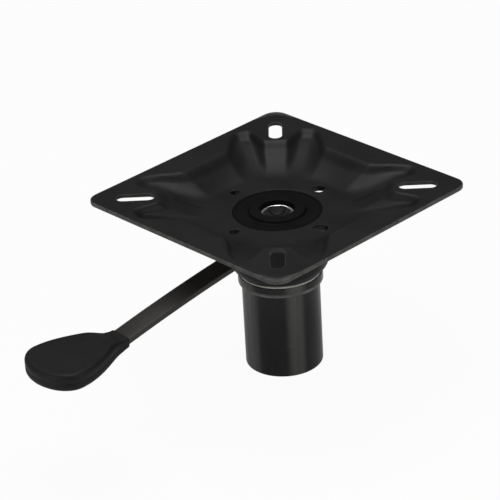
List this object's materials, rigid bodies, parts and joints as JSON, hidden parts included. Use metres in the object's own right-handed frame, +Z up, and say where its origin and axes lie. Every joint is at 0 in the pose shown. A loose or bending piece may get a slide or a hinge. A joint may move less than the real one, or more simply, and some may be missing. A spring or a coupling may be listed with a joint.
{
  "type": "swivel seat base",
  "caption": "Square pressed seat plate on a braked swivel with a release lever and a plug-in spigot tube for a seat pedestal.",
  "frame": {"origin": "centre of the spigot tube's lower end, on the swivel axis", "axes": "+Z up along the swivel axis, +X and +Y along the diagonals of the square plate, through its mounting slots; the lever points between -X and -Y"},
  "size_m": [0.2729, 0.2709, 0.1225],
  "materials": {
    "plate_paint": "semi-gloss black powder coat",
    "housing_paint": "semi-gloss black paint",
    "tube_paint": "gloss black paint",
    "lever_paint": "thin black paint, worn on the edges",
    "cover_plastic": "black moulded plastic, satin",
    "grip_plastic": "black moulded plastic, matt",
    "zinc": "bright zinc plate",
    "bare_steel": "plain oiled steel",
    "dark_steel": "phosphated steel",
    "nylon": "natural nylon",
    "pad_lining": "bonded brake lining"
  },
  "bodies": {
    "spigot": {"spigot_tube": "tube_paint", "spindle": "tube_paint", "king_bolt": "dark_steel", "thrust_washer": "nylon", "brake_disc": "bare_steel", "cup_washer": "zinc", "king_nut": "dark_steel"},
    "carrier": {"top_plate": "plate_paint", "housing": "housing_paint", "bearing_pan": "housing_paint", "hub_cover": "cover_plastic", "upper_bush": "nylon", "lower_bush": "nylon", "pivot_cradle": "zinc", "cradle_rivets": "zinc", "pivot_pin": "bare_steel", "pin_clips": "dark_steel", "brake_spring": "bare_steel"},
    "lever": {"lever_arm": "lever_paint", "grip": "grip_plastic", "grip_screw": "dark_steel"},
    "plunger": {"brake_plunger": "zinc", "brake_pad": "pad_lining", "plunger_clip": "dark_steel"}
  },
  "joints": [
    {"name": "swivel", "type": "hinge", "parent": "spigot", "child": "carrier", "pos_m": [0, 0, 0.0684], "axis": [0, 0, 1], "continuous": true},
    {"name": "lever_lift", "type": "hinge", "parent": "carrier", "child": "lever", "pos_m": [-0.00813, -0.00813, 0.0915], "axis": [-0.7071, 0.7071, 0], "range_deg": [0, 12], "stiffness_Nm_per_rad": 0.6, "springref_deg": -15.47},
    {"name": "plunger_slide", "type": "slide", "parent": "carrier", "child": "plunger", "axis": [0, 0, 1], "range_m": [0, 0.002], "deforming": ["brake_spring"]}
  ],
  "couplings": [
    {"joint": "plunger_slide", "follows": "lever_lift", "m_per_rad": 0.0095}
  ]
}
